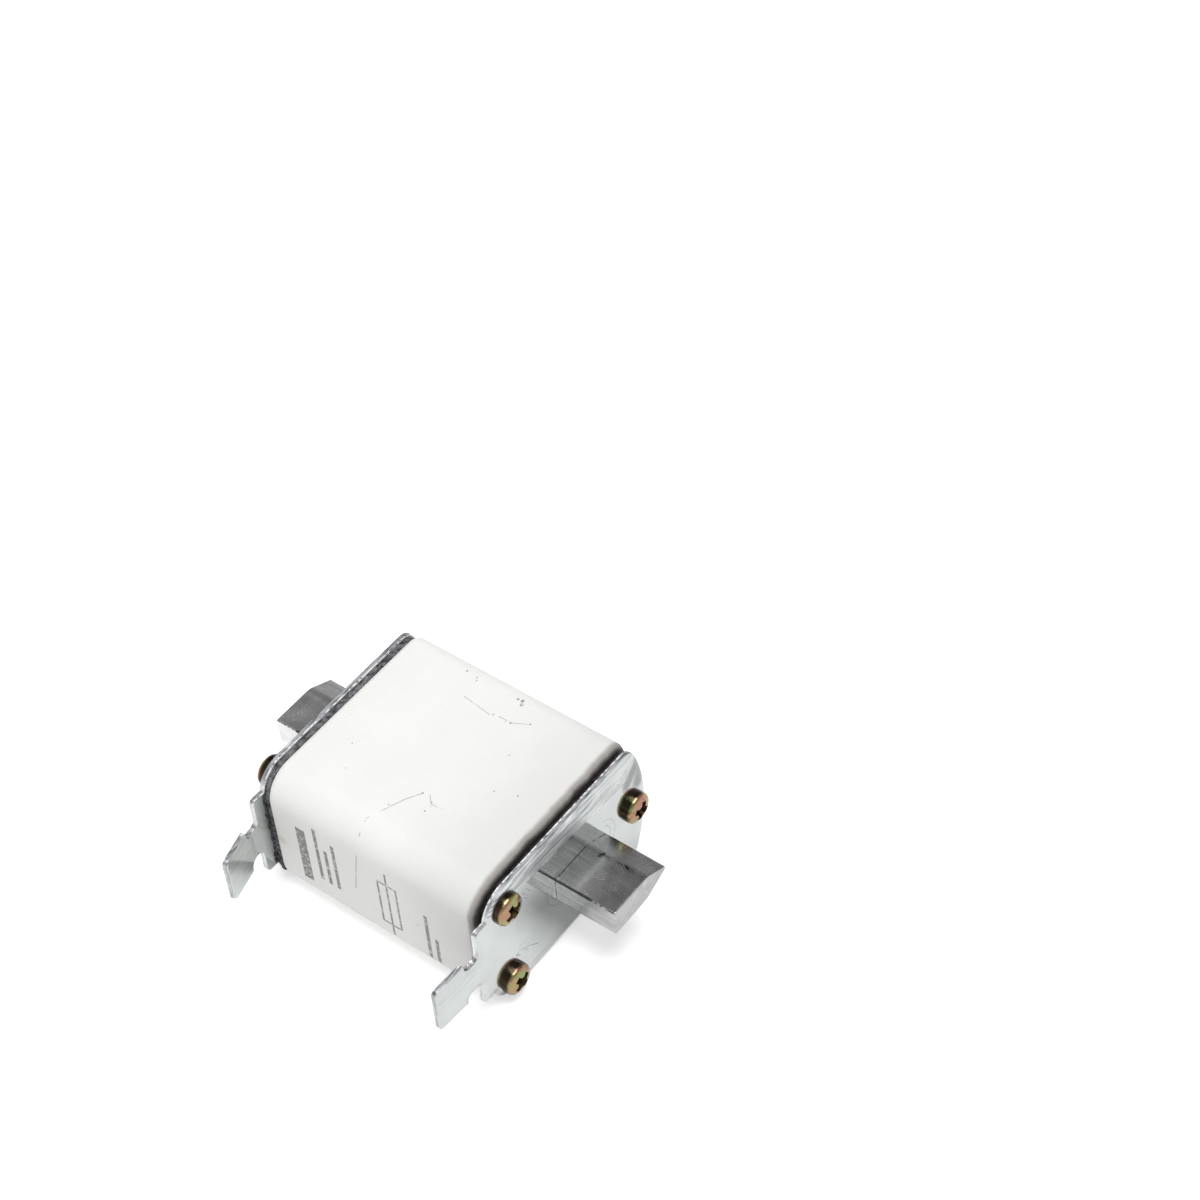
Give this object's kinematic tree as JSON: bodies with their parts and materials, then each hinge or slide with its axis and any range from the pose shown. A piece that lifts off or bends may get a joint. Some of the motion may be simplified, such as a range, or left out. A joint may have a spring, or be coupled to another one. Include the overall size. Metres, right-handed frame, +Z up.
{
  "type": "fuse link",
  "caption": "Low-voltage blade-contact fuse link: ceramic body, plated end plates with T-shaped pulling lugs, bevelled knife blades, pan-head screws and a sand-filled melting strip inside.",
  "frame": {"origin": "on the large side that the fuse link rests on, below the middle of the blades' common centre line", "axes": "+X along the blades towards the right-hand blade, +Y from the pulling lugs towards the knife edges, +Z up out of the resting side"},
  "size_m": [0.0786, 0.0596, 0.03],
  "materials": {
    "ceramic": "semi-gloss white ceramic",
    "sand": "compacted quartz sand",
    "strip": "rolled copper strip",
    "solder": "tin solder",
    "gasket": "compressed fibre sheet",
    "plate": "bright zinc-plated steel",
    "blade": "tin-plated copper, satin",
    "screw": "yellow-chromated steel",
    "plug": "pressed aluminium"
  },
  "bodies": {
    "root": {"ceramic_body": "ceramic", "quartz_sand": "sand", "fuse_element": "strip", "solder_bridge": "solder", "gasket_left": "gasket", "gasket_right": "gasket", "end_plate_left": "plate", "end_plate_right": "plate", "blade_left": "blade", "blade_right": "blade", "filling_plug": "plug", "screw_left_low": "screw", "screw_left_high": "screw", "screw_left_back": "screw", "screw_right_low": "screw", "screw_right_high": "screw", "screw_right_back": "screw"}
  },
  "joints": []
}
